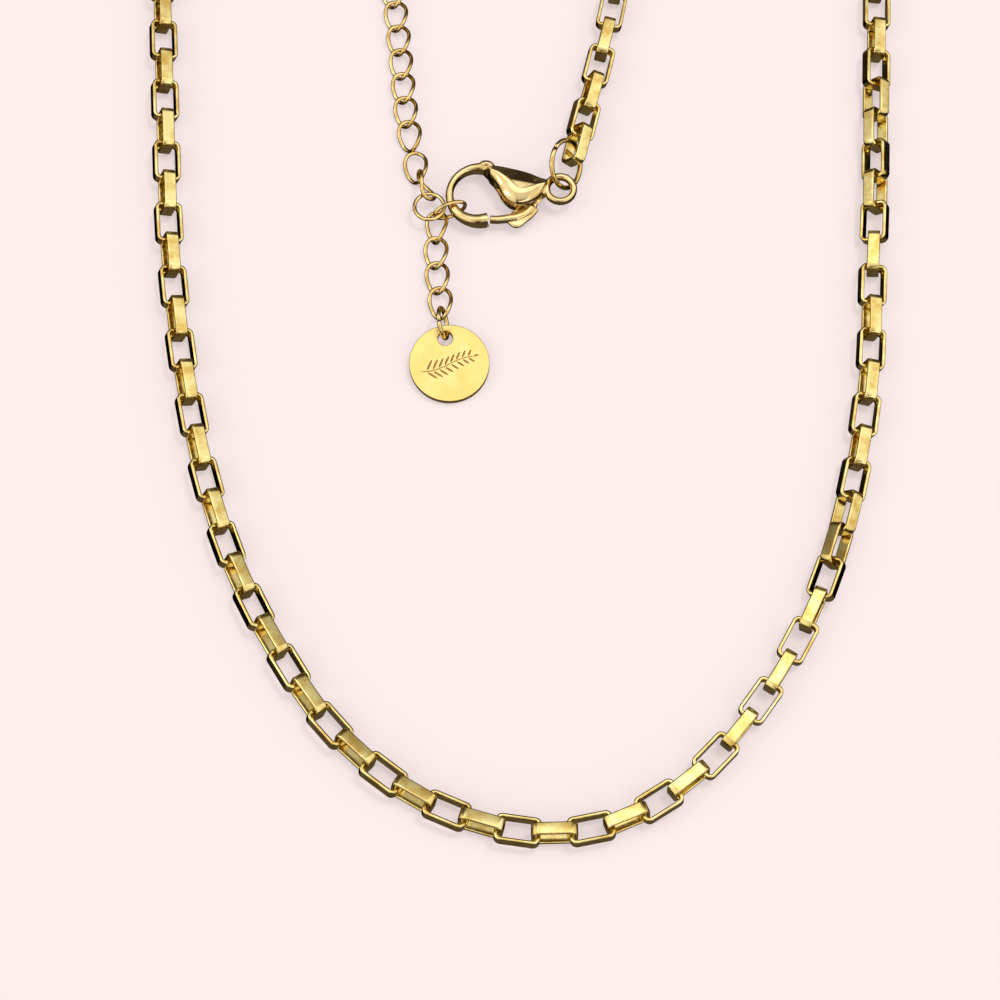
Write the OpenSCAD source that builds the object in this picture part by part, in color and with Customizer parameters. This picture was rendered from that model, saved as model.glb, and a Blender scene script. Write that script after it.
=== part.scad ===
// Chain necklace: long-box link chain, curb extender, lobster clasp and round tag, lying flat and clasped.
// Millimetres, +Z up, the surface it lies on is z = 0, the front of the chain is towards -Y.

/* [Box chain] */
// Outer length of one box link
link_len = 4.0; // [3.95:0.01:4.05]
// Outer width of one box link
link_w = 2.5; // [2.4:0.05:2.6]
// Width of the strip that a box link is bent from
strip_w = 1.12; // [1:0.05:1.2]
// Thickness of that strip
strip_t = 0.33; // [0.3:0.01:0.34]
// Outer radius of a box link's corners
link_corner = 0.6; // [0.4:0.05:0.8]
// Distance between the centres of neighbouring box links
link_pitch = 3.16; // [3.14:0.01:3.18]
// Extra play where two groups of links hinge on each other
fold_play = 0.06; // [0.04:0.01:0.08]

/* [Extender chain] */
// Wire diameter of a curb link
curb_wire = 0.4; // [0.35:0.01:0.42]
// Half length of a curb link, along its wire's centre line
curb_a = 1.5; // [1.48:0.01:1.52]
// Half width of a curb link, along its wire's centre line
curb_b = 1.05; // [1:0.01:1.1]
// Rise and fall of a curb link's twist
curb_twist = 0.32; // [0.3:0.01:0.36]
// Roll of the extender links about their chain
curb_roll = 22; // [15:1:30]

/* [Jump rings] */
// Centre line radius of the clasp's ring
jump_r = 2.2; // [2.15:0.01:2.25]
// Centre line radius of the extender's ring
extender_ring_r = 2.2; // [2.15:0.01:2.25]
// Wire diameter of those rings
jump_wire = 0.46; // [0.42:0.01:0.48]
// Centre line radius of the tag's ring
tag_ring_r = 1.4; // [1.35:0.01:1.45]
// Wire diameter of the tag's ring
tag_ring_wire = 0.4; // [0.36:0.01:0.42]

/* [Clasp] */
// Thickness of the clasp's body
clasp_t = 2.8; // [2.6:0.1:3]
// Thickness of the clasp's hook
hook_t = 1.25; // [1.2:0.05:1.3]
// Height of the slot that the lever works in
slot_t = 1.4; // [1.4:0.05:1.5]
// Thickness of the lever
lever_t = 0.9; // [0.8:0.05:0.95]
// Radius of the lever's rivet
rivet_r = 0.42; // [0.4:0.01:0.43]
// Outer radius of the clasp's eye
eye_r = 1.5; // [1.4:0.05:1.55]
// Radius of the hole in the clasp's eye
eye_hole_r = 0.95; // [0.9:0.01:0.97]
// Thickness of the clasp's eye
eye_t = 0.9; // [0.8:0.05:0.95]

/* [Tag] */
// Diameter of the tag
tag_d = 7.3; // [7:0.1:7.6]
// Thickness of the tag
tag_t = 0.7; // [0.6:0.05:0.75]
// Diameter of the tag's hole
tag_hole_d = 1.4; // [1.35:0.05:1.5]

/* [Hidden] */
$fn = 48;
SAMPLES = 16;         // curve samples between two route points
FOLD_Z = 1.1;         // height of every fold axis
GROUP = 4;            // box links between two fold lines on the outer strands
FOLDS = 9;            // fold lines, counted from the front
FIRST_LEFT = 4.5;     // the front fold's place on the left strand, in links from the lowest one
FIRST_RIGHT = 5.5;    // and on the right strand
CROSSED_FROM = 6;     // the back strands run from the last fold line to this one
WIRE_SIDES = 8;
WIRE_RINGS = 22;

// Route of the box chain's centre line: extender end, left loop, left strand, front, right strand,
// right loop, clasp end.
ROUTE = [
    [-10.5, 54], [-11.8, 61], [-12.6, 67.5], [-13.4, 73.4], [-14.8, 78.5], [-18.6, 82.3],
    [-23.8, 83.7], [-28.9, 82.3], [-32.7, 78.5], [-34.1, 73.4], [-33.8, 67], [-33.1, 59.5], [-32.4, 52], [-31.8, 43], [-31.2, 34], [-30.6, 26],
    [-29.6, 18], [-28.2, 10], [-26.3, 2], [-23.5, -6], [-19.6, -13.5], [-14.3, -21], [-7, -26.8],
    [1.5, -29.7], [9.5, -29.1], [16.5, -25.1], [22.3, -18.8], [27, -11.2], [30.1, -3.5],
    [32.3, 5], [33.6, 13], [34.2, 21], [34.9, 30], [35.4, 39], [35.9, 48], [36.3, 57], [36.4, 66],
    [35.8, 72.9], [34.3, 78.3], [30.3, 82.3], [25, 83.7], [19.6, 82.3], [15.6, 78.3], [14.1, 72.9], [13, 67], [12.2, 60],
    [11.1, 51.5], [9.5, 44], [7.7, 36.8], [6.1, 30], [4.6, 23]
];
FRONT_POINT = 23;     // the route point at the lowest link

// Route of the extender's centre line, from its ring down to the hooked end.
EXTENDER_ROUTE = [
    [-14.2, 72], [-12.9, 66], [-11.9, 60.5], [-10.9, 55], [-10, 49.5], [-9.4, 44], [-8.9, 39],
    [-8.2, 34.5], [-7.6, 30]
];

// Roll of the box chain about its own line, by link number from the lowest one.
ROLL = [
    [-60, 14], [-40, 20], [-10, 23], [-4, 16], [3, 10], [7, 0], [10.5, 0], [15.5, 78], [21, 78], [23.8, 132],
    [26.5, 135], [29.2, 174], [46, 176], [53, 178], [57.5, 186], [61, 216]
];

// How far the clasp's ring lifts the last box links, by link number.
LIFT = [[57, 0], [61, 0.45]];

BACK_LEFT_LINKS = 11;   // box links in the left loop, from fold line to fold line
BACK_RIGHT_LINKS = 11;  // box links in the right loop
BACK_LEFT_PITCH = 3.18; // pitch of the box links that end the left loop
EXTENDER_BOX_LINKS = 3; // box links between the left loop and the extender's ring
CURB_GROUP = 5;         // curb links between two fold lines
END_SLACK = 1;          // the last group on the clasp's side ends this far before its fold line
END_PAST = 0.1;         // and the last box link's centre is this far past that line

// ---- curves ----

function spline(a, b, c, d, t) = 0.5 * (2 * b + (c - a) * t + (2 * a - 5 * b + 4 * c - d) * t * t
    + (3 * b - a - 3 * c + d) * t * t * t);

function curve(points) = [
    for (i = [1 : len(points) - 3], j = [0 : SAMPLES - 1])
        spline(points[i - 1], points[i], points[i + 1], points[i + 2], j / SAMPLES)
];

function lengths(samples) = [
    for (i = 0, s = 0; i < len(samples);
        s = s + (i + 1 < len(samples) ? norm(samples[i + 1] - samples[i]) : 0), i = i + 1) s
];

// A track is [x by length, y by length] for lookup().
function track(samples, along) = [
    [for (i = [0 : len(samples) - 1]) [along[i], samples[i].x]],
    [for (i = [0 : len(samples) - 1]) [along[i], samples[i].y]]
];

function at(track, s) = [lookup(s, track[0]), lookup(s, track[1])];

function heading(track, s) = let (d = at(track, s + 0.3) - at(track, s - 0.3)) atan2(d.y, d.x);

route_samples = curve(ROUTE);
route_lengths = lengths(route_samples);
route = track(route_samples, route_lengths);
FRONT_S = route_lengths[(FRONT_POINT - 1) * SAMPLES];
ROUTE_END = route_lengths[len(route_lengths) - 1];

extender_samples = curve(EXTENDER_ROUTE);
extender_lengths = lengths(extender_samples);
extender = track(extender_samples, extender_lengths);
EXTENDER_END = extender_lengths[len(extender_lengths) - 1];

// ---- fold lines ----

// Length along the route of fold k on each outer strand, k from 1 at the front to FOLDS at the back.
function left_fold(k) =
    FRONT_S - (FIRST_LEFT + GROUP * (k - 1)) * link_pitch - (k - 0.5) * fold_play;
function right_fold(k) =
    FRONT_S + (FIRST_RIGHT + GROUP * (k - 1)) * link_pitch + (k - 0.5) * fold_play;

// How far a point lies behind fold line k.
function behind(k, p) = let (a = at(route, left_fold(k)), b = at(route, right_fold(k)), d = b - a)
    (d.x * (p.y - a.y) - d.y * (p.x - a.x)) / norm(d);

// Where a track crosses fold line k between the lengths low and high, by halving.
function crossing(track, k, low, high, steps = 30) =
    steps == 0 ? (low + high) / 2 :
    let (middle = (low + high) / 2)
        behind(k, at(track, low)) * behind(k, at(track, middle)) <= 0
            ? crossing(track, k, low, middle, steps - 1)
            : crossing(track, k, middle, high, steps - 1);

LEFT_TOP = left_fold(FOLDS) - 20;     // a length on the left loop, behind every fold line
RIGHT_TOP = right_fold(FOLDS) + 20;

function right_back(k) = crossing(route, k, RIGHT_TOP, ROUTE_END);
LEFT_BACK = crossing(route, FOLDS, 0, LEFT_TOP);
function extender_back(k) = crossing(extender, k, 0, EXTENDER_END);

// ---- box links ----

module rounded_rectangle(x, y, r) {
    square([x - 2 * r, y], center = true);
    square([x, y - 2 * r], center = true);
    for (i = [-1, 1], j = [-1, 1]) translate([i * (x / 2 - r), j * (y / 2 - r)]) circle(r);
}

// One box link, hole up, along X.
module box_link() {
    inner_r = link_corner - strip_t;
    translate([0, 0, -strip_w / 2]) linear_extrude(strip_w) difference() {
        rounded_rectangle(link_len, link_w, link_corner);
        rounded_rectangle(link_len - 2 * strip_t, link_w - 2 * strip_t, inner_r);
    }
}

// Height of the chain's line at a roll, with the lowest edge on z = 0.
function rest_height(roll) = max(
    link_w / 2 * abs(cos(roll)) + strip_w / 2 * abs(sin(roll)),
    link_w / 2 * abs(sin(roll)) + strip_w / 2 * abs(cos(roll)));

// Box link number i, with its centre at length s along the route.
module route_link(i, s) {
    roll = lookup(i, ROLL);
    p = at(route, s);
    translate([p.x, p.y, rest_height(roll) + lookup(i, LIFT)])
        rotate(heading(route, s))
            rotate([-roll + (i % 2 == 0 ? 0 : 90), 0, 0]) box_link();
}

// count links spread evenly between two fold lines, at lengths from and to; the first is number i.
module links_between(from, to, count, i) {
    way = to > from ? 1 : -1;
    step = (abs(to - from) - fold_play) / count;
    color("goldenrod") for (n = [0 : count - 1])
        route_link(i + way * n, from + way * (fold_play / 2 + (n + 0.5) * step));
}

module front_chain() {
    links_between(left_fold(1), right_fold(1), FIRST_LEFT + FIRST_RIGHT, 0.5 - FIRST_LEFT);
}

module left_chain(k) {
    links_between(left_fold(k), left_fold(k + 1), GROUP, -FIRST_LEFT - 0.5 - GROUP * (k - 1));
}

module right_chain(k) {
    links_between(right_fold(k), right_fold(k + 1), GROUP, FIRST_RIGHT + 0.5 + GROUP * (k - 1));
}

LEFT_LOOP_FIRST = -FIRST_LEFT - 0.5 - GROUP * (FOLDS - 1);
RIGHT_LOOP_FIRST = FIRST_RIGHT + 0.5 + GROUP * (FOLDS - 1);

module left_back_loop() {
    links_between(left_fold(FOLDS), LEFT_BACK, BACK_LEFT_LINKS, LEFT_LOOP_FIRST);
}

module right_back_loop() {
    links_between(right_fold(FOLDS), right_back(FOLDS), BACK_RIGHT_LINKS, RIGHT_LOOP_FIRST);
}

// The back strand between fold k + 1 and fold k, on its way down to the clasp.
module right_back_chain(k) {
    first = RIGHT_LOOP_FIRST + BACK_RIGHT_LINKS + GROUP * (FOLDS - 1 - k);
    slack = k == CROSSED_FROM ? END_SLACK : 0;
    links_between(right_back(k + 1), right_back(k) - slack, GROUP, first);
}

// The last box link, which the clasp's ring hangs in.
module right_back_end() {
    number = RIGHT_LOOP_FIRST + BACK_RIGHT_LINKS + GROUP * (FOLDS - CROSSED_FROM);
    color("goldenrod") route_link(number, right_back(CROSSED_FROM) + END_PAST);
}

// The three box links that the extender's ring hangs in.
module left_back_chain() {
    color("goldenrod") for (n = [0 : EXTENDER_BOX_LINKS - 1])
        route_link(LEFT_LOOP_FIRST - BACK_LEFT_LINKS - n,
            LEFT_BACK - fold_play / 2 - (n + 0.5) * BACK_LEFT_PITCH);
}

// ---- curb links and rings ----

function unit(v) = v / norm(v);

function curb_point(t, a, b, c) = [a * cos(t), b * sin(t), c * sin(2 * t)];

function curb_ring(t, a, b, c) = let (
    p = curb_point(t, a, b, c),
    along = unit([-a * sin(t), b * cos(t), 2 * c * cos(2 * t)]),
    out = [b * cos(t), a * sin(t), 0],
    side = unit(out - (out * along) * along),
    up = cross(along, side)
) [for (i = [0 : WIRE_SIDES - 1]) let (w = 360 / WIRE_SIDES * (i + 0.5))
    p + curb_wire / 2 * (cos(w) * side + sin(w) * up)];

// A twisted oval of round wire, along X.
module curb_link(a = curb_a, b = curb_b, c = curb_twist) {
    points = [for (j = [0 : WIRE_RINGS - 1]) each curb_ring(360 / WIRE_RINGS * j, a, b, c)];
    faces = [
        for (j = [0 : WIRE_RINGS - 1], i = [0 : WIRE_SIDES - 1]) let (
            next_j = (j + 1) % WIRE_RINGS * WIRE_SIDES,
            next_i = (i + 1) % WIRE_SIDES,
            this_j = j * WIRE_SIDES
        ) each [
            [this_j + i, next_j + i, next_j + next_i],
            [this_j + i, next_j + next_i, this_j + next_i]
        ]
    ];
    polyhedron(points, faces);
}

// Round wire bent to a ring that is cut once; the ring's axis is Z and the cut is at cut_at.
module wire_ring(r, wire, cut_at = 0) {
    cut = 4;
    rotate(cut_at + cut / 2) rotate_extrude(angle = 360 - cut) translate([r, 0]) circle(wire / 2);
}

CURB_Z = 0.82; // height of the extender's line

module curb_at(p, angle, roll = curb_roll) {
    translate([p.x, p.y, len(p) > 2 ? p.z : CURB_Z]) rotate(angle) rotate([roll, 0, 0]) curb_link();
}

// Curb links between fold k + 1 and fold k of the extender.
module extender_chain(k) {
    from = extender_back(k + 1);
    to = extender_back(k);
    step = (to - from - fold_play) / CURB_GROUP;
    color("gold") for (n = [0 : CURB_GROUP - 1]) let (s = from + fold_play / 2 + (n + 0.5) * step)
        curb_at(at(extender, s), heading(extender, s));
}

// The curb links at the hook: two that end the run, a round one, and the one that is hooked.
HOOKED = [[-7.85, 32.85], [-7, 30.75, 1.3]];
ROUND_LINK = [-6.55, 28.5, 1.58];
HOOK_LINK = [-4.65, 28.25, 1.38];

module extender_hooked() {
    color("gold") {
        curb_at(HOOKED[0], -82);
        curb_at(HOOKED[1], -67, 106);
        translate(ROUND_LINK) rotate([-6, 0, 0]) rotate_extrude() translate([1.36, 0])
            circle(curb_wire / 2);
        translate(HOOK_LINK) rotate([80, 0, 21]) curb_link(c = 0);
    }
}

// The tail below the hook, link by link: place, heading and roll.
TAIL = [
    [[-5.85, 26.65, 0.97], -88, 36],
    [[-5.9, 24.15, 0.82], -88, 22],
    [[-5.75, 21.65, 0.82], -84, 22],
    [[-5.45, 19.15, 0.82], -84, 22]
];

module tail_link(n) {
    color("gold") curb_at(TAIL[n - 1][0], TAIL[n - 1][1], TAIL[n - 1][2]);
}

// ---- jump rings ----

// A ring that stands on edge along heading angle, leaning by lean from flat.
module leaning_ring(centre, angle, lean, r, wire, cut_at) {
    color("gold") translate(centre) rotate(angle) rotate([lean, 0, 0]) wire_ring(r, wire, cut_at);
}

CLASP_RING_LEAN = 56;
CLASP_RING_CENTRE = [6.15, 32.6, 2.07];
CLASP_RING_ANGLE = 71;
EXTENDER_RING_LEAN = 46;
EXTENDER_RING_CENTRE = [-12.55, 62.35, 2.04];
EXTENDER_RING_ANGLE = 106;

module clasp_ring() {
    leaning_ring(CLASP_RING_CENTRE, CLASP_RING_ANGLE, CLASP_RING_LEAN, jump_r, jump_wire, 80);
}

module extender_ring() {
    leaning_ring(EXTENDER_RING_CENTRE, EXTENDER_RING_ANGLE, EXTENDER_RING_LEAN,
        extender_ring_r, jump_wire, 80);
}

// ---- clasp, drawn with its eye at the origin, the hook along +X and the lever towards +Y ----

EYE = [5.6, 30.2];
EYE_LIFT = 0.35;      // the eye's height above the middle of the body; its ring passes under it
CLASP_ANGLE = 174.2;
HOOK_OUT = [7.4, 1.25];
HOOK_OUT_R = 3.15;
HOOK_IN = [7.65, 1.15];
HOOK_IN_R = 2.2;
PIVOT = [2.9, 1.1];
TIP_R = 4.2;          // the lever's tip sweeps this radius past the hook's end
TIP_GAP = 0.06;
BODY_OUTLINE = [
    [1.2, -0.75], [2.0, -1.05], [3.2, -1.45], [4.7, -1.7], [6.2, -1.85], [7.2, -1.65], [7.3, -1.0],
    [6.6, -0.35], [5.9, 0.4], [5.35, 1.3], [4.6, 2.0], [3.6, 2.2], [2.5, 1.75], [1.6, 0.9]
];
LEVER_OUTLINE = [
    [6.7, 3.2], [6.4, 4.05], [5.3, 4.0], [4.6, 3.85], [4.1, 4.1], [3.4, 4.15], [2.9, 3.8],
    [2.4, 3.1], [1.95, 2.2], [1.9, 1.3], [2.3, 0.5], [3.1, 0.35], [3.7, 0.9], [4.3, 2.1], [5.3, 2.9]
];

function closed_curve(points, n) = let (k = len(points)) [
    for (i = [0 : k - 1], j = [0 : n - 1])
        spline(points[(i + k - 1) % k], points[i], points[(i + 1) % k], points[(i + 2) % k], j / n)
];

module in_clasp_place() {
    translate([EYE.x, EYE.y, clasp_t / 2]) rotate(CLASP_ANGLE) children();
}

module slab(t) {
    translate([0, 0, -t / 2]) linear_extrude(t) children();
}

module clasp_body() {
    color("gold") in_clasp_place() difference() {
        union() {
            slab(clasp_t) polygon(closed_curve(BODY_OUTLINE, 4));
            slab(hook_t) difference() {
                translate(HOOK_OUT) circle(HOOK_OUT_R);
                translate(HOOK_IN) circle(HOOK_IN_R);
                intersection() {
                    translate(PIVOT) circle(TIP_R + TIP_GAP);
                    translate([PIVOT.x, -0.8]) square(6);
                }
            }
            translate([0, 0, EYE_LIFT]) slab(eye_t) difference() {
                union() {
                    circle(eye_r);
                    translate([0, -0.85]) square([1.8, 1.7]);
                }
                circle(eye_hole_r);
            }
        }
        slab(slot_t) translate([1.6, 0]) square([4.8, 5]);
        cylinder(h = clasp_t + 1, r = eye_hole_r, center = true);
        translate(PIVOT) cylinder(h = clasp_t + 1, r = rivet_r, center = true);
    }
}

module clasp_lever() {
    color("gold") in_clasp_place() translate([0, 0, -slot_t / 2 + lever_t / 2 + 0.06]) difference() {
        slab(lever_t) intersection() {
            polygon(closed_curve(LEVER_OUTLINE, 4));
            translate(PIVOT) circle(TIP_R);
        }
        translate(PIVOT) cylinder(h = 2, r = rivet_r + 0.05, center = true);
    }
}

module clasp_rivet() {
    color("gold") in_clasp_place() translate(PIVOT) cylinder(h = clasp_t, r = rivet_r, center = true);
}

// One turn of spring wire round the rivet, above the lever, with a leg to the body and one to the lever.
module clasp_spring() {
    wire = 0.26;
    leg_r = 0.11;
    turn_r = rivet_r + wire / 2 + 0.06;
    lift = slot_t / 2 - wire / 2 - 0.04;
    color("silver") in_clasp_place() translate([PIVOT.x, PIVOT.y, lift]) {
        rotate_extrude() translate([turn_r, 0]) circle(wire / 2);
        translate([turn_r, 0, 0]) rotate([90, 0, 0]) cylinder(h = 1, r = leg_r);
        rotate(250) translate([turn_r, 0, 0]) rotate([-90, 0, 0]) cylinder(h = 1.1, r = leg_r);
    }
}

// ---- tag ----

TAG_HOLE = [-5, 15.65];
TAG_HOLE_OUT = 2.4;   // the hole's distance from the tag's centre
TAG_TURN = 9;         // the tag has swung a little round its ring
TAG_TILT = 3.6;       // the ring under it lifts the hole's side

module tag_disc() {
    color("gold") translate(TAG_HOLE) rotate(TAG_TURN) translate([0, -TAG_HOLE_OUT - tag_d / 2, 0])
        rotate([TAG_TILT, 0, 0]) translate([0, tag_d / 2, 0]) linear_extrude(tag_t) difference() {
            circle(tag_d / 2, $fn = 96);
            translate([0, TAG_HOLE_OUT]) circle(tag_hole_d / 2);
        }
}

TAG_RING_CENTRE = [-5.2, 16.87, 1.56];

module tag_ring() {
    leaning_ring(TAG_RING_CENTRE, 94, 75, tag_ring_r, tag_ring_wire, 100);
}

// ---- nodes ----

// The middle of the necklace's outline, which the origin lies under.
MIDDLE = [1.1, 26.95, 0];

STRAND = [1 : FOLDS - 1];
BACK = [CROSSED_FROM : FOLDS - 1];
EXTENDER = [CROSSED_FROM : FOLDS - 2];
TAIL_LINKS = [1 : 4];

translate(-MIDDLE) {
    front_chain();
    for (k = STRAND) left_chain(k);
    for (k = STRAND) right_chain(k);
    left_back_loop();
    left_back_chain();
    right_back_loop();
    for (k = BACK) right_back_chain(k);
    right_back_end();
    extender_ring();
    for (k = EXTENDER) extender_chain(k);
    extender_hooked();
    for (n = TAIL_LINKS) tail_link(n);
    tag_ring();
    tag_disc();
    clasp_ring();
    clasp_body();
    clasp_lever();
    clasp_rivet();
    clasp_spring();
}
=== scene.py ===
"""Looks for the chain necklace: gold box links, curb extender, lobster clasp, rings and tag."""
import math

import bmesh
import bpy
import numpy as np
from mathutils import Matrix, Vector


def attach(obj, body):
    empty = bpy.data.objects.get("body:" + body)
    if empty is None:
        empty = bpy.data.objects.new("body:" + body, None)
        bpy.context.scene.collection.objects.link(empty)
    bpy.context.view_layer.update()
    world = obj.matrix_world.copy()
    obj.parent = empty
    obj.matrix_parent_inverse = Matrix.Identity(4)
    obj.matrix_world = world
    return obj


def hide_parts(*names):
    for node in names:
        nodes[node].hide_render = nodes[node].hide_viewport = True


MM = 0.001
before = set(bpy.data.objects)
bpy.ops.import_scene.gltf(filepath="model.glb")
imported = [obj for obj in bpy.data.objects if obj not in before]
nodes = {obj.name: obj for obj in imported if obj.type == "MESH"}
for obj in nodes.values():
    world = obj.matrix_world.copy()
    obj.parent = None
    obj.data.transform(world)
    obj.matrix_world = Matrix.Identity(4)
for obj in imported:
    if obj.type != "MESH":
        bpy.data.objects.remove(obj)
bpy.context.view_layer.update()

# ---- materials ----


def tree_tools(tree):
    """Short ways to add and join nodes in a node tree."""
    def add(kind, **values):
        node = tree.nodes.new(kind)
        for key, value in values.items():
            if key in node.inputs:
                node.inputs[key].default_value = value
            else:
                setattr(node, key, value)
        return node

    def join(source, output, target, socket):
        tree.links.new(source.outputs[output], target.inputs[socket])

    return add, join


def new_material(name):
    """A new material and its shader."""
    material = bpy.data.materials.new(name)
    material.use_nodes = True
    return material, material.node_tree.nodes["Principled BSDF"]


def ramp(add, stops):
    """A colour ramp; stops are (position, (r, g, b, 1))."""
    node = add("ShaderNodeValToRGB")
    elements = node.color_ramp.elements
    while len(elements) > 1:
        elements.remove(elements[-1])
    elements[0].position, elements[0].color = stops[0][0], stops[0][1]
    for place, colour in stops[1:]:
        elements.new(place).color = colour
    return node


def map_range(add, from_min, from_max, to_min=0.0, to_max=1.0, smooth=False):
    node = add("ShaderNodeMapRange")
    node.inputs["From Min"].default_value = from_min
    node.inputs["From Max"].default_value = from_max
    node.inputs["To Min"].default_value = to_min
    node.inputs["To Max"].default_value = to_max
    if smooth:
        node.interpolation_type = "SMOOTHSTEP"
    return node


# A colour mix node's own sockets: its two colours and its result.
MIX_A, MIX_B, MIX_OUT = 6, 7, 2
SCRATCH_DEPTH = 0.01 * MM


def gold(name, light, deep, rough=(0.1, 0.24), scratch=0.25, cloud=700.0,
         grain=(9000.0, 9000.0, 9000.0), worn=(1.0, 0.9, 0.62)):
    """Polished plate: drifts between light and deep, paler on worn edges, finely scratched.

    rough is the range of roughness, scratch the strength of the bump, cloud and grain the
    scales of the drift and of the scratches."""
    material, shader = new_material(name)
    add, join = tree_tools(material.node_tree)
    shader.inputs["Metallic"].default_value = 1.0
    place = add("ShaderNodeTexCoord")
    patches = add("ShaderNodeTexNoise", Scale=cloud, Detail=3.0, Roughness=0.6)
    join(place, "Object", patches, "Vector")
    tint = ramp(add, [(0.36, (*deep, 1)), (0.6, (*light, 1))])
    join(patches, "Fac", tint, "Fac")
    shape = add("ShaderNodeNewGeometry")
    edge = map_range(add, 0.53, 0.62, 0.0, 0.45)
    join(shape, "Pointiness", edge, "Value")
    blend = add("ShaderNodeMix", data_type="RGBA")
    join(edge, "Result", blend, "Factor")
    join(tint, "Color", blend, MIX_A)
    blend.inputs[MIX_B].default_value = (*worn, 1)
    join(blend, MIX_OUT, shader, "Base Color")
    stretch = add("ShaderNodeMapping")
    stretch.inputs["Scale"].default_value = grain
    join(place, "Object", stretch, "Vector")
    fine = add("ShaderNodeTexNoise", Scale=1.0, Detail=4.0, Roughness=0.7)
    join(stretch, "Vector", fine, "Vector")
    dull = map_range(add, 0.3, 0.75, *rough)
    join(fine, "Fac", dull, "Value")
    join(dull, "Result", shader, "Roughness")
    bump = add("ShaderNodeBump", Strength=scratch, Distance=SCRATCH_DEPTH)
    join(fine, "Fac", bump, "Height")
    join(bump, "Normal", shader, "Normal")
    return material


CHAIN_GOLD = gold("chain_gold", (0.96, 0.82, 0.35), (0.74, 0.49, 0.12), rough=(0.1, 0.22))
WIRE_GOLD = gold("wire_gold", (0.94, 0.73, 0.31), (0.7, 0.46, 0.13), rough=(0.09, 0.18))
CLASP_GOLD = gold("clasp_gold", (0.88, 0.7, 0.36), (0.74, 0.53, 0.22), rough=(0.07, 0.14),
                  scratch=0.1)
TAG_GOLD = gold("tag_gold", (0.84, 0.63, 0.22), (0.8, 0.56, 0.17), rough=(0.24, 0.34),
                scratch=0.2, cloud=260.0, grain=(2500.0, 30000.0, 9000.0))
# Darker gold for the faces that the sprig cuts into the tag: painted shade in the engraved grooves.
GROOVE_PAINTED_SHADE = gold("groove_painted_shade", (0.58, 0.33, 0.09), (0.46, 0.25, 0.05), rough=(0.35, 0.5))
SPRING_STEEL = gold("spring_steel", (0.6, 0.58, 0.55), (0.45, 0.43, 0.4), rough=(0.2, 0.35),
                    worn=(0.75, 0.73, 0.7))

# ---- CAD nodes that stay: softened edges and their gold ----

WELD_DISTANCE = 1e-7
SHARP_ANGLE = math.radians(40)


def finish_node(name, material, edge=0.0):
    """Gives a CAD node its material, and softens its edges by edge metres."""
    obj = nodes[name]
    obj.data.materials.clear()
    obj.data.materials.append(material)
    weld = obj.modifiers.new("weld", "WELD")
    weld.merge_threshold = WELD_DISTANCE
    if edge:
        bevel = obj.modifiers.new("edge", "BEVEL")
        bevel.width = edge
        bevel.segments = 3
        bevel.limit_method = "ANGLE"
        bevel.angle_limit = SHARP_ANGLE
        bevel.use_clamp_overlap = True
    normals = obj.modifiers.new("normals", "WEIGHTED_NORMAL")
    normals.keep_sharp = False


BOX_LINK_EDGE = 0.13 * MM
for node_name in nodes:
    if node_name.startswith(("front", "left", "right")):
        finish_node(node_name, CHAIN_GOLD, BOX_LINK_EDGE)
for node_name in ("extender_ring", "tag_ring", "clasp_ring"):
    finish_node(node_name, WIRE_GOLD)
finish_node("clasp_spring", SPRING_STEEL)

# ---- mesh pieces ----


def piece(name, points, faces, material, body, slot, *stands_for):
    """A smooth mesh, points in millimetres, that rides on body and stands for CAD nodes."""
    mesh = bpy.data.meshes.new(name)
    mesh.from_pydata([tuple(p) for p in np.asarray(points, float) * MM], [], faces)
    mesh.polygons.foreach_set("use_smooth", [True] * len(mesh.polygons))
    mesh.update()
    obj = bpy.data.objects.new(name, mesh)
    bpy.context.scene.collection.objects.link(obj)
    mesh.materials.append(material)
    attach(obj, body)
    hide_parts(*stands_for)


def skin(rows, sides, closed):
    """Faces over rows of points, each row a ring of sides points."""
    last = rows if closed else rows - 1
    return [(i * sides + j, (i + 1) % rows * sides + j, (i + 1) % rows * sides + (j + 1) % sides,
             i * sides + (j + 1) % sides) for i in range(last) for j in range(sides)]


def tube(line, side_vectors, radius, sides=16):
    """Round wire along a closed line. side_vectors point roughly across the line."""
    line = np.asarray(line, float)
    along = np.roll(line, -1, 0) - np.roll(line, 1, 0)
    along /= np.linalg.norm(along, axis=1)[:, None]
    across = side_vectors - np.sum(side_vectors * along, 1)[:, None] * along
    across /= np.linalg.norm(across, axis=1)[:, None]
    up = np.cross(along, across)
    turn = np.linspace(0, 2 * np.pi, sides, endpoint=False)
    ring = (np.cos(turn)[None, :, None] * across[:, None]
            + np.sin(turn)[None, :, None] * up[:, None])
    return (line[:, None] + radius * ring).reshape(-1, 3), skin(len(line), sides, True)


def loose_parts(node):
    """The separate solids of a CAD node, each as an array of points in millimetres."""
    mesh = bmesh.new()
    mesh.from_mesh(nodes[node].data)
    bmesh.ops.remove_doubles(mesh, verts=mesh.verts, dist=WELD_DISTANCE)
    mesh.verts.ensure_lookup_table()
    left, parts = set(range(len(mesh.verts))), []
    while left:
        stack, seen = [left.pop()], []
        while stack:
            index = stack.pop()
            seen.append(index)
            for edge in mesh.verts[index].link_edges:
                other = edge.other_vert(mesh.verts[index]).index
                if other in left:
                    left.discard(other)
                    stack.append(other)
        parts.append(np.array([mesh.verts[i].co for i in seen]) / MM)
    mesh.free()
    return parts


def axes_of(points):
    """Centre and right-handed axes of a solid, longest first, and its half sizes along them."""
    _, _, axes = np.linalg.svd(points - points.mean(0), full_matrices=False)
    if np.dot(np.cross(axes[0], axes[1]), axes[2]) < 0:
        axes[2] = -axes[2]
    flat = points @ axes.T
    low, high = flat.min(0), flat.max(0)
    return ((low + high) / 2) @ axes, axes, (high - low) / 2


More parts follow.
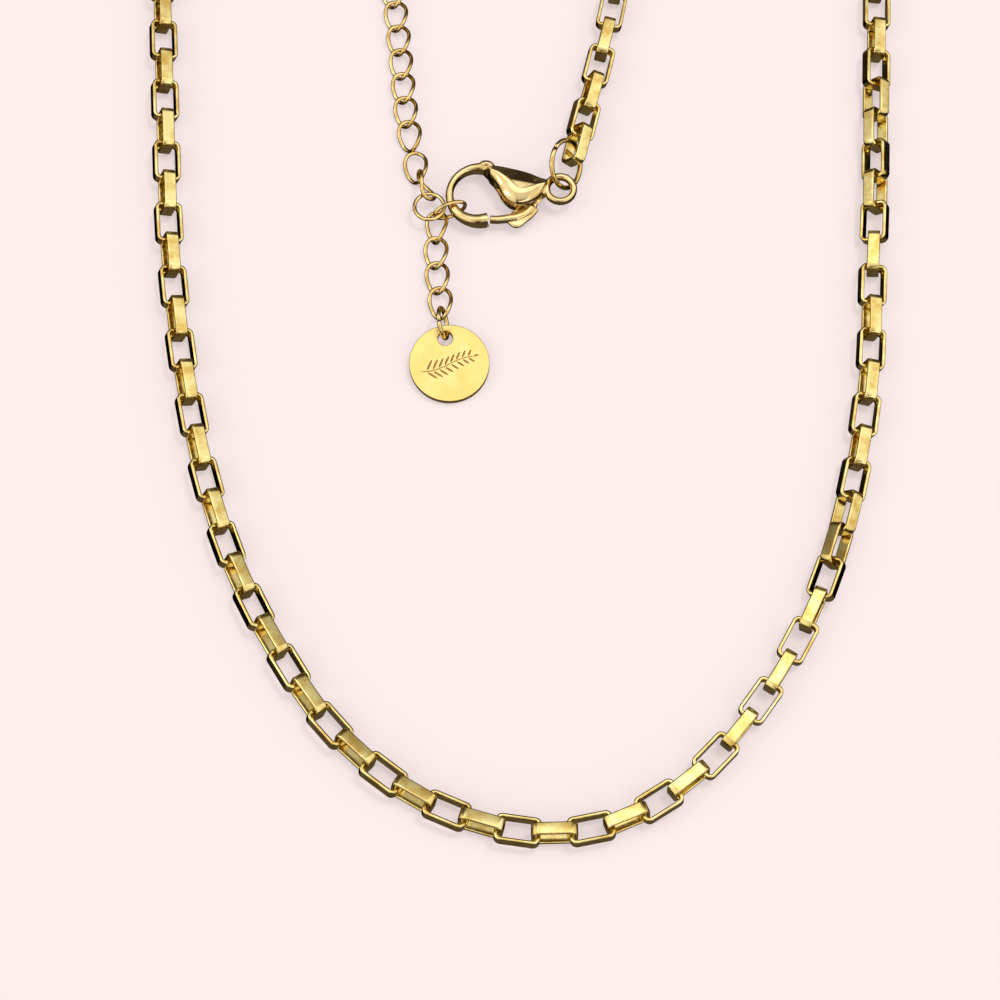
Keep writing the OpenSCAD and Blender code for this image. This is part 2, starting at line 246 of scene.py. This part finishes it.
CURB_FLAT = 0.37         # across the flats of the CAD model's eight-sided wire
CURB_ROUND = 0.36        # the round wire, thin enough to clear the tag's ring
CURB_STEPS = 72
RING_DIFFERENCE = 0.05   # a link whose length and width differ by less is a flat ring


def curb_loop(points):
    """Smooth round wire over one curb link of the CAD model."""
    centre, axes, half = axes_of(points)
    a, b = half[0] - CURB_FLAT / 2, half[1] - CURB_FLAT / 2
    c = max(0.0, half[2] - CURB_FLAT / 2)
    t = np.linspace(0, 2 * np.pi, CURB_STEPS, endpoint=False)
    if a - b < RING_DIFFERENCE:
        c = 0.0
    line = np.stack([a * np.cos(t), b * np.sin(t), c * np.sin(2 * t)], 1)
    out = np.stack([b * np.cos(t), a * np.sin(t), 0 * t], 1)
    shape, faces = tube(line, out, CURB_ROUND / 2)
    return shape @ axes + centre, faces


def join_shapes(shapes):
    """Several shapes, each (points, faces), as one."""
    points, faces, start = [], [], 0
    for p, f in shapes:
        points.append(p)
        faces += [tuple(i + start for i in face) for face in f]
        start += len(p)
    return np.concatenate(points), faces


CURB_NODES = ("extender_chain", "extender_hooked", "tail_link")
for node_name in [n for n in nodes if n.startswith(CURB_NODES)]:
    points, faces = join_shapes([curb_loop(part) for part in loose_parts(node_name)])
    piece(node_name + "_wire", points, faces, WIRE_GOLD, node_name, "extender_gold", node_name)

# ---- shapes for the clasp and the tag ----

MIDDLE = np.array([1.1, 26.95, 0.0])     # middle of the outline, as the necklace is laid out
EYE = np.array([5.6, 30.2, 1.4])         # the clasp's eye in the same layout
CLASP_ANGLE = math.radians(174.2)


def clasp_place(points):
    """From the clasp's own axes, eye at the origin and hook along +X, to the shared frame."""
    c, s = math.cos(CLASP_ANGLE), math.sin(CLASP_ANGLE)
    turned = np.asarray(points, float) @ np.array([[c, s, 0], [-s, c, 0], [0, 0, 1]])
    return turned + EYE - MIDDLE


def spline_closed(points, steps=6):
    """A smooth closed outline through the points, with steps points for each."""
    points = np.asarray(points, float)
    out = []
    for i in range(len(points)):
        a, b, c, d = (points[(i + k) % len(points)] for k in (-1, 0, 1, 2))
        for t in np.linspace(0, 1, steps, endpoint=False):
            out.append(0.5 * (2 * b + (c - a) * t + (2 * a - 5 * b + 4 * c - d) * t ** 2
                              + (3 * b - a - 3 * c + d) * t ** 3))
    return np.array(out)


def nearest_on(line, points):
    """The point of a broken line nearest to each point."""
    best, best_distance = np.zeros_like(points), np.full(len(points), 1e9)
    for a, b in zip(line[:-1], line[1:]):
        d = b - a
        t = np.clip(((points - a) @ d) / (d @ d), 0, 1)
        near = a + t[:, None] * d
        distance = np.linalg.norm(points - near, axis=1)
        better = distance < best_distance
        best[better], best_distance[better] = near[better], distance[better]
    return best


PILLOW_MEETS = 0.97      # the last loop stops this far on its way to the spine


def pillow(outline, spine, rim, top, bottom, loops=11, facet=0.0):
    """A closed solid over an outline: half height rim at the outline, rising to top and falling
    to bottom over the spine. rim and facet can differ for each outline point; facet 0 is a round
    shoulder and 1 a straight slope."""
    outline, spine = np.asarray(outline, float), np.asarray(spine, float)
    target = nearest_on(spine, outline)
    layers = []
    for side, height in ((-1, bottom), (1, top)):
        half = []
        for t in np.linspace(0, 1, loops):
            inward = (1 - math.cos(t * math.pi / 2)) if t < 1 else PILLOW_MEETS
            rise = facet * inward + (1 - facet) * math.sin(t * math.pi / 2)
            z = np.broadcast_to(rim + (height - rim) * rise, len(outline))
            half.append(np.column_stack([outline + (target - outline) * inward, side * z]))
        layers += half[::-1] if side < 0 else half
    n = len(outline)
    faces = [(k * n + i, k * n + (i + 1) % n, (k + 1) * n + (i + 1) % n, (k + 1) * n + i)
             for k in range(len(layers) - 1) for i in range(n)]
    last = (len(layers) - 1) * n
    faces += [tuple(range(n))[::-1], tuple(last + i for i in range(n))]
    return np.concatenate(layers), faces


def sweep(line, widths, heights, power=3.0, sides=24, closed=False):
    """A rounded bar along a line (x, y, z): width across in the plane, height along Z."""
    line = np.asarray(line, float)
    n = len(line)
    along = (np.roll(line, -1, 0) - np.roll(line, 1, 0)) if closed else np.gradient(line, axis=0)
    along /= np.linalg.norm(along, axis=1)[:, None]
    across = np.column_stack([-along[:, 1], along[:, 0], 0 * along[:, 0]])
    across /= np.linalg.norm(across, axis=1)[:, None]
    up = np.cross(along, across)
    turn = np.linspace(0, 2 * np.pi, sides, endpoint=False)
    u = np.sign(np.cos(turn)) * np.abs(np.cos(turn)) ** (2 / power)
    v = np.sign(np.sin(turn)) * np.abs(np.sin(turn)) ** (2 / power)
    half_widths = np.asarray(widths)[:, None, None] / 2
    half_heights = np.asarray(heights)[:, None, None] / 2
    points = (line[:, None] + across[:, None] * (u[None, :, None] * half_widths)
              + up[:, None] * (v[None, :, None] * half_heights)).reshape(-1, 3)
    faces = skin(n, sides, closed)
    if not closed:
        faces.append(tuple(range(sides))[::-1])
        faces.append(tuple((n - 1) * sides + j for j in range(sides)))
    return points, faces


def working_object(name, shape, materials=(), index=0):
    """An object to be cut or melted: a closed shape, its normals turned outwards."""
    mesh = bpy.data.meshes.new(name)
    mesh.from_pydata([tuple(p) for p in shape[0]], [], shape[1])
    outwards = bmesh.new()
    outwards.from_mesh(mesh)
    bmesh.ops.recalc_face_normals(outwards, faces=outwards.faces)
    outwards.to_mesh(mesh)
    outwards.free()
    for material in materials:
        mesh.materials.append(material)
    mesh.polygons.foreach_set("material_index", [index] * len(mesh.polygons))
    obj = bpy.data.objects.new(name, mesh)
    bpy.context.scene.collection.objects.link(obj)
    return obj


def take_away(obj, cutter):
    cut = obj.modifiers.new("cut", "BOOLEAN")
    cut.operation, cut.object, cut.solver = "DIFFERENCE", cutter, "EXACT"


def final_mesh(obj, helpers):
    """The mesh that obj's modifiers give; obj and its helpers are removed."""
    bpy.context.view_layer.update()
    evaluated = obj.evaluated_get(bpy.context.evaluated_depsgraph_get())
    mesh = bpy.data.meshes.new_from_object(evaluated)
    for used in [obj, *helpers]:
        bpy.data.objects.remove(used)
    return mesh


CASTING_VOXEL = 0.06
CASTING_SMOOTH = 2


def fused(name, shapes, cut_shape):
    """Closed shapes melted into one casting, in millimetres, with cut_shape taken away."""
    obj = working_object(name + "_source", join_shapes(shapes))
    melt = obj.modifiers.new("melt", "REMESH")
    melt.mode = "VOXEL"
    melt.voxel_size = CASTING_VOXEL
    soften = obj.modifiers.new("soften", "SMOOTH")
    soften.factor, soften.iterations = 0.5, CASTING_SMOOTH
    cutter = working_object(name + "_cut", cut_shape)
    take_away(obj, cutter)
    mesh = final_mesh(obj, [cutter])
    return np.array([v.co for v in mesh.vertices]), [tuple(p.vertices) for p in mesh.polygons]


def box_shape(low, high):
    """A box between two corners."""
    x, y, z = zip(low, high)
    points = [(x[i], y[j], z[k]) for i in (0, 1) for j in (0, 1) for k in (0, 1)]
    faces = [(0, 1, 3, 2), (4, 6, 7, 5), (0, 4, 5, 1), (2, 3, 7, 6), (0, 2, 6, 4), (1, 5, 7, 3)]
    return points, faces


def prism(outline, low, high):
    """An outline raised from low to high along Z."""
    outline = np.asarray(outline, float)
    n = len(outline)
    points = np.concatenate([np.column_stack([outline, np.full(n, z)]) for z in (low, high)])
    faces = [(i, (i + 1) % n, n + (i + 1) % n, n + i) for i in range(n)]
    return points, faces + [tuple(range(n))[::-1], tuple(range(n, 2 * n))]


def rod_shape(centre, radius, half, sides=32):
    """An upright rod from -half to half."""
    turn = np.linspace(0, 2 * np.pi, sides, endpoint=False)
    ring = np.column_stack([centre[0] + radius * np.cos(turn), centre[1] + radius * np.sin(turn)])
    return prism(ring, -half, half)


def ball(centre, radii, rings=12, sides=20):
    """An egg shape with a radius for each axis."""
    points = [(0, 0, -1)]
    for v in np.linspace(-np.pi / 2, np.pi / 2, rings + 2)[1:-1]:
        for u in np.linspace(0, 2 * np.pi, sides, endpoint=False):
            points.append((math.cos(v) * math.cos(u), math.cos(v) * math.sin(u), math.sin(v)))
    points.append((0, 0, 1))
    faces = [(0, 1 + (i + 1) % sides, 1 + i) for i in range(sides)]
    for k in range(rings - 1):
        a, b = 1 + k * sides, 1 + (k + 1) * sides
        faces += [(a + i, a + (i + 1) % sides, b + (i + 1) % sides, b + i) for i in range(sides)]
    top, a = len(points) - 1, 1 + (rings - 1) * sides
    faces += [(top, a + i, a + (i + 1) % sides) for i in range(sides)]
    return np.array(points) * radii + centre, faces


# ---- clasp ----

PIVOT = (2.9, 1.1)

BODY_OUTLINE = spline_closed([
    (1.25, -0.7), (2.0, -1.0), (3.2, -1.4), (4.7, -1.65), (6.2, -1.8), (7.15, -1.6), (7.25, -1.0),
    (6.55, -0.35), (5.85, 0.4), (5.3, 1.3), (4.55, 1.95), (3.6, 2.15), (2.5, 1.7), (1.65, 0.85)])
BODY_SPINE = [(6.8, -1.05), (5.9, -0.8), (5.0, -0.3), (4.3, 0.35), (3.75, 0.85), (3.1, 0.75),
              (2.3, 0.2), (1.5, -0.05)]
BODY_HALF, BODY_RIM = 1.4, 0.6
# The side away from the lever is a flat facet with a thinner rim, the rest a round shoulder.
FACET_BELOW, FACET_RIM = -0.5, 0.35
on_facet = BODY_OUTLINE[:, 1] < FACET_BELOW
body_shape = pillow(BODY_OUTLINE, BODY_SPINE, rim=np.where(on_facet, FACET_RIM, BODY_RIM),
                    top=BODY_HALF, bottom=BODY_HALF, facet=np.where(on_facet, 1.0, 0.0))
KNOB_CENTRE, KNOB_RADII = (7.05, -1.68, 0.35), (0.75, 0.45, 0.75)

# The hook fills the space between two arcs that aren't quite concentric.
HOOK_STEPS = 64
HOOK_FROM, HOOK_TO = -140, 115.5
HOOK_OUTER, HOOK_OUTER_RADIUS = np.array([7.4, 1.25]), 3.15
HOOK_INNER, HOOK_INNER_RADIUS = np.array([7.65, 1.15]), 2.2
hook_degrees = np.linspace(HOOK_FROM, HOOK_TO, HOOK_STEPS)
hook_turn = np.radians(hook_degrees)
hook_direction = np.column_stack([np.cos(hook_turn), np.sin(hook_turn)])
outer = HOOK_OUTER + HOOK_OUTER_RADIUS * hook_direction
inner = HOOK_INNER + HOOK_INNER_RADIUS * hook_direction
hook_height = np.interp(hook_degrees, [-110, -60, 60, 105], [1.7, 1.25, 1.25, 1.75])
hook_shape = sweep(np.column_stack([(outer + inner) / 2, 0 * hook_turn]),
                   np.linalg.norm(outer - inner, axis=1), hook_height, power=2.6)

EYE_STEPS = 64
EYE_RADIUS, EYE_WIDTH, EYE_HEIGHT, EYE_LIFT = 1.25, 0.62, 0.92, 0.35
eye_turn = np.linspace(0, 2 * np.pi, EYE_STEPS, endpoint=False)
eye_line = np.column_stack([EYE_RADIUS * np.cos(eye_turn), EYE_RADIUS * np.sin(eye_turn),
                            np.full(EYE_STEPS, EYE_LIFT)])
eye_shape = sweep(eye_line, np.full(EYE_STEPS, EYE_WIDTH), np.full(EYE_STEPS, EYE_HEIGHT),
                  power=2.5, closed=True)
NECK_LINE = [(1.1, 0, 0.32), (1.6, 0.0, 0.2), (2.3, 0.1, 0.1)]
NECK_WIDTHS, NECK_HEIGHTS = [1.5, 1.8, 2.4], [0.9, 1.7, 2.2]
neck_shape = sweep(NECK_LINE, NECK_WIDTHS, NECK_HEIGHTS, power=2.4)

# The lever's slot runs through the body at half height.
SLOT_LOW, SLOT_HIGH = (1.6, 0.0, -0.7), (6.4, 5.0, 0.7)
points, faces = fused("clasp", [body_shape, ball(KNOB_CENTRE, KNOB_RADII), hook_shape, eye_shape,
                                neck_shape], box_shape(SLOT_LOW, SLOT_HIGH))
piece("clasp_casting", clasp_place(points), faces, CLASP_GOLD, "clasp", "clasp_gold", "clasp_body")

LEVER_MIDDLE = -0.19
ARM_LINE = np.array([(6.2, 3.5), (5.6, 3.48), (5.0, 3.36), (4.4, 3.2), (3.8, 3.05), (3.2, 2.75),
                     (2.75, 2.35), (2.45, 1.85)])
ARM_WIDTHS = [0.7, 0.7, 0.72, 0.78, 0.8, 0.8, 0.8, 0.8]
ARM_HEIGHT, ARM_LIFT = 0.86, 0.04
arm_shape = sweep(np.column_stack([ARM_LINE, np.full(len(ARM_LINE), ARM_LIFT)]), ARM_WIDTHS,
                  np.full(len(ARM_LINE), ARM_HEIGHT), power=2.6)
WEB_OUTLINE = [(2.05, 1.9), (2.1, 0.9), (3.0, 0.4), (3.65, 0.95), (3.85, 2.1), (4.5, 3.0),
               (3.6, 3.1), (2.6, 2.7)]
WEB_SPINE = [PIVOT, (3.1, 2.4)]
web_shape = pillow(spline_closed(WEB_OUTLINE), WEB_SPINE, rim=0.28, top=0.34, bottom=0.4)
TAB_OUTLINE = [(4.75, 3.35), (4.35, 3.8), (3.85, 4.05), (3.3, 3.9), (2.8, 3.35), (2.2, 2.7),
               (1.85, 2.0), (2.5, 2.0), (3.2, 2.8), (4.0, 3.1)]
TAB_SPINE = [(4.2, 3.5), (3.6, 3.45), (2.9, 2.95), (2.2, 2.2)]
tab_shape = pillow(spline_closed(TAB_OUTLINE), TAB_SPINE, rim=0.1, top=0.2, bottom=0.42)
LEVER_HOLE_RADIUS, LEVER_HOLE_HALF = 0.47, 2
points, faces = fused("lever", [arm_shape, web_shape, tab_shape],
                      rod_shape(PIVOT, LEVER_HOLE_RADIUS, LEVER_HOLE_HALF))
points[:, 2] += LEVER_MIDDLE
piece("clasp_lever_casting", clasp_place(points), faces, CLASP_GOLD, "clasp_lever", "clasp_gold",
      "clasp_lever")

RIVET_RADIUS, RIVET_HALF = 0.42, 0.76
points, faces = rod_shape(PIVOT, RIVET_RADIUS, RIVET_HALF)
piece("clasp_rivet_pin", clasp_place(points), faces, CLASP_GOLD, "clasp", "clasp_gold",
      "clasp_rivet")

# ---- tag ----

TAG_RADIUS, TAG_HALF, TAG_EDGE = 3.65, 0.35, 0.07
TAG_HOLE = np.array([-5.0, 15.65, 0.0])  # in the same layout as the clasp's eye
TAG_HOLE_OUT, TAG_HOLE_RADIUS = 2.4, 0.7
TAG_TURN, TAG_TILT = math.radians(9), math.radians(3.6)
TAG_EDGE_ANGLE = math.radians(50)


def tag_place(points):
    """From the tag's own axes, centre at the origin and hole towards +Y, to the shared frame."""
    tilt, turn = Matrix.Rotation(TAG_TILT, 3, "X"), Matrix.Rotation(TAG_TURN, 3, "Z")
    lifted = (np.asarray(points) + (0, TAG_RADIUS, TAG_HALF)) @ np.array(tilt).T
    return (lifted + (0, -TAG_HOLE_OUT - TAG_RADIUS, 0)) @ np.array(turn).T + TAG_HOLE - MIDDLE


def leaf(x, y, angle, length, width):
    """Outline of a pointed leaf that starts at (x, y)."""
    t = np.linspace(0, np.pi, 7)
    side = np.column_stack([length * (1 - np.cos(t)) / 2, width / 2 * np.sin(t)])
    outline = np.concatenate([side * (1, -1), side[-2:0:-1]])
    c, s = math.cos(angle), math.sin(angle)
    return outline @ np.array([[c, s], [-s, c]]) + (x, y)


def stem(x):
    """Height of the sprig's stem, a gentle S, at x."""
    return -0.1 + 0.12 * x + 0.2 * math.sin(x * 1.1)


# A plain leaf sprig, engraved where such a tag carries its decoration.
STEM_X = np.linspace(-2.65, 2.2, 40)
STEM_HALF, LEAF_GAP = 0.045, 0.06
LEAF_X = np.linspace(-2.1, 1.8, 8)
LEAF_LENGTH, LEAF_TAPER, LEAF_WIDTH = 1.1, 0.06, 0.2
LEAF_UP, LEAF_DOWN = math.radians(58), math.radians(-40)
stem_line = np.array([(x, stem(x)) for x in STEM_X])
engraved = [np.concatenate([stem_line - (0, STEM_HALF), (stem_line + (0, STEM_HALF))[::-1]])]
for k, x in enumerate(LEAF_X):
    size, gap = LEAF_LENGTH - LEAF_TAPER * k, LEAF_GAP + STEM_HALF
    engraved.append(leaf(x, stem(x) + gap, LEAF_UP, size, LEAF_WIDTH))
    engraved.append(leaf(x, stem(x) - gap, LEAF_DOWN, size, LEAF_WIDTH))
TIP_X, TIP_Y = 2.28, stem(2.25)
TIP_ANGLE, TIP_LENGTH, TIP_WIDTH = math.radians(12), 0.5, 0.18
engraved.append(leaf(TIP_X, TIP_Y, TIP_ANGLE, TIP_LENGTH, TIP_WIDTH))
ENGRAVED_DEPTH = 0.06
ENGRAVED_ABOVE = 0.5     # how far the cutter stands above the tag's face

tag = working_object("tag_source", rod_shape((0, 0), TAG_RADIUS, TAG_HALF, 160),
                     (TAG_GOLD, GROOVE_PAINTED_SHADE))
hole = working_object("tag_cut_0", rod_shape((0, TAG_HOLE_OUT), TAG_HOLE_RADIUS, 1, 48),
                      (TAG_GOLD, GROOVE_PAINTED_SHADE))
# The sprig's cut faces take the second material, a darker gold that paints shade into the grooves.
sprig = working_object("tag_cut_1", join_shapes(
    [prism(outline, TAG_HALF - ENGRAVED_DEPTH, TAG_HALF + ENGRAVED_ABOVE) for outline in engraved]),
    (TAG_GOLD, GROOVE_PAINTED_SHADE), index=1)
take_away(tag, hole)
bevel = tag.modifiers.new("edge", "BEVEL")
bevel.width, bevel.segments = TAG_EDGE, 3
bevel.limit_method, bevel.angle_limit = "ANGLE", TAG_EDGE_ANGLE
take_away(tag, sprig)
tag_mesh = final_mesh(tag, [hole, sprig])
tag_mesh.name = "tag_plate"
placed = tag_place(np.array([v.co for v in tag_mesh.vertices]))
for vertex, point in zip(tag_mesh.vertices, placed):
    vertex.co = Vector(point) * MM
tag_plate = bpy.data.objects.new("tag_plate", tag_mesh)
bpy.context.scene.collection.objects.link(tag_plate)
tag_plate.modifiers.new("normals", "WEIGHTED_NORMAL")
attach(tag_plate, "tag_disc")
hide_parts("tag_disc")

# ---- stage ----

FLOOR_HALF = 1.5
FLOOR_GAP = 0.02 * MM    # keeps the floor's face off the links' lowest faces
FLOOR_CORNERS = [(-FLOOR_HALF, -FLOOR_HALF, 0), (FLOOR_HALF, -FLOOR_HALF, 0),
                 (FLOOR_HALF, FLOOR_HALF, 0), (-FLOOR_HALF, FLOOR_HALF, 0)]
floor_mesh = bpy.data.meshes.new("floor")
floor_mesh.from_pydata(FLOOR_CORNERS, [], [(0, 1, 2, 3)])
floor = bpy.data.objects.new("floor", floor_mesh)
bpy.context.scene.collection.objects.link(floor)
floor.location.z = -FLOOR_GAP
floor_paint, floor_shader = new_material("floor_paint")
floor_shader.inputs["Base Color"].default_value = (0.45, 0.385, 0.38, 1)
floor_shader.inputs["Roughness"].default_value = 1.0
floor_shader.inputs["Specular IOR Level"].default_value = 0.0
floor_shader.inputs["Emission Color"].default_value = (1.0, 0.89, 0.907, 1)
floor_shader.inputs["Emission Strength"].default_value = 0.476
floor_mesh.materials.append(floor_paint)
floor.visible_glossy = False

# The studio, which is seen only in the gold. Heights in the ramps run from 0, straight down,
# to 1, straight up.
SKY = [(0.0, (0.1, 0.08, 0.055, 1)), (0.3, (0.08, 0.06, 0.04, 1)), (0.53, (0.03, 0.025, 0.02, 1)),
       (0.72, (0.12, 0.1, 0.08, 1)), (0.86, (0.42, 0.4, 0.38, 1)), (0.93, (0.8, 0.78, 0.75, 1)),
       (1.0, (0.95, 0.93, 0.9, 1))]
WALLS = [(0.47, (0, 0, 0, 1)), (0.52, (0.8, 0.76, 0.7, 1)), (0.82, (1.2, 1.17, 1.12, 1)),
         (0.95, (1.1, 1.08, 1.05, 1))]
TABLE = (0.1, 0.08, 0.06, 1)

world = bpy.data.worlds.new("studio")
bpy.context.scene.world = world
world.use_nodes = True
background = world.node_tree.nodes["Background"]
add, join = tree_tools(world.node_tree)


def product(first, second):
    node = add("ShaderNodeMath", operation="MULTIPLY")
    join(first, "Result", node, 0)
    join(second, "Result", node, 1)
    return node


place = add("ShaderNodeTexCoord")
split = add("ShaderNodeSeparateXYZ")
join(place, "Generated", split, 0)
height = map_range(add, -1.0, 1.0)
join(split, "Z", height, "Value")
sky = ramp(add, SKY)
join(height, "Result", sky, "Fac")
# Pale walls on the left and right, which fade out towards the back.
sideways = add("ShaderNodeMath", operation="ABSOLUTE")
join(split, "X", sideways, 0)
wall = map_range(add, 0.2, 0.5, smooth=True)
join(sideways, 0, wall, "Value")
beside = map_range(add, 0.65, 0.45, smooth=True)
join(split, "Y", beside, "Value")
band = ramp(add, WALLS)
join(height, "Result", band, "Fac")
walls = add("ShaderNodeMix", data_type="RGBA")
join(product(wall, beside), 0, walls, "Factor")
join(sky, "Color", walls, MIX_A)
join(band, "Color", walls, MIX_B)
# The table in front, seen in the faces that point to the front.
front = map_range(add, -0.1, -0.25, smooth=True)
join(split, "Y", front, "Value")
low = map_range(add, -0.3, -0.6)
join(split, "Z", low, "Value")
table = add("ShaderNodeMix", data_type="RGBA")
table.inputs[MIX_B].default_value = TABLE
join(product(front, low), 0, table, "Factor")
join(walls, MIX_OUT, table, MIX_A)
join(table, MIX_OUT, background, "Color")
background.inputs["Strength"].default_value = 1.0

TARGET = Vector((-1.1, -26.95, 1.25)) * MM


LIGHT_DISTANCE = 0.6


def softbox(name, direction, size, power, reflected=True):
    """A soft rectangular light, size in metres and power in watts, aimed at the necklace."""
    light = bpy.data.lights.new(name, "AREA")
    light.shape, light.size, light.size_y = "RECTANGLE", size[0], size[1]
    light.energy = power
    obj = bpy.data.objects.new(name, light)
    bpy.context.scene.collection.objects.link(obj)
    obj.location = TARGET + Vector(direction).normalized() * LIGHT_DISTANCE
    obj.rotation_euler = (TARGET - obj.location).to_track_quat("-Z", "Y").to_euler()
    obj.visible_glossy = reflected


softbox("key", (0.05, 0.33, 0.95), (0.42, 0.26), 0.26)
softbox("shadows", (0.3, 0.2, 0.93), (0.12, 0.12), 0.9, reflected=False)
softbox("left", (-1.0, -0.2, 0.7), (0.08, 0.35), 0.2)
softbox("front", (0.3, -1.0, 0.5), (0.4, 0.06), 0.15)

# ---- camera ----

ELEVATION = math.radians(71.95)
DISTANCE = 0.214
LENS, SENSOR = 86.4, 36.0
camera_data = bpy.data.cameras.new("camera")
camera_data.sensor_width = SENSOR
camera_data.lens = LENS
camera_data.clip_start, camera_data.clip_end = 0.01, 20.0
camera = bpy.data.objects.new("camera", camera_data)
bpy.context.scene.collection.objects.link(camera)
back = Vector((0.0, -math.cos(ELEVATION), math.sin(ELEVATION)))
camera.location = TARGET + back * DISTANCE
camera.rotation_euler = (-back).to_track_quat("-Z", "Y").to_euler()
bpy.context.scene.camera = camera
bpy.context.scene.view_settings.view_transform = "Standard"
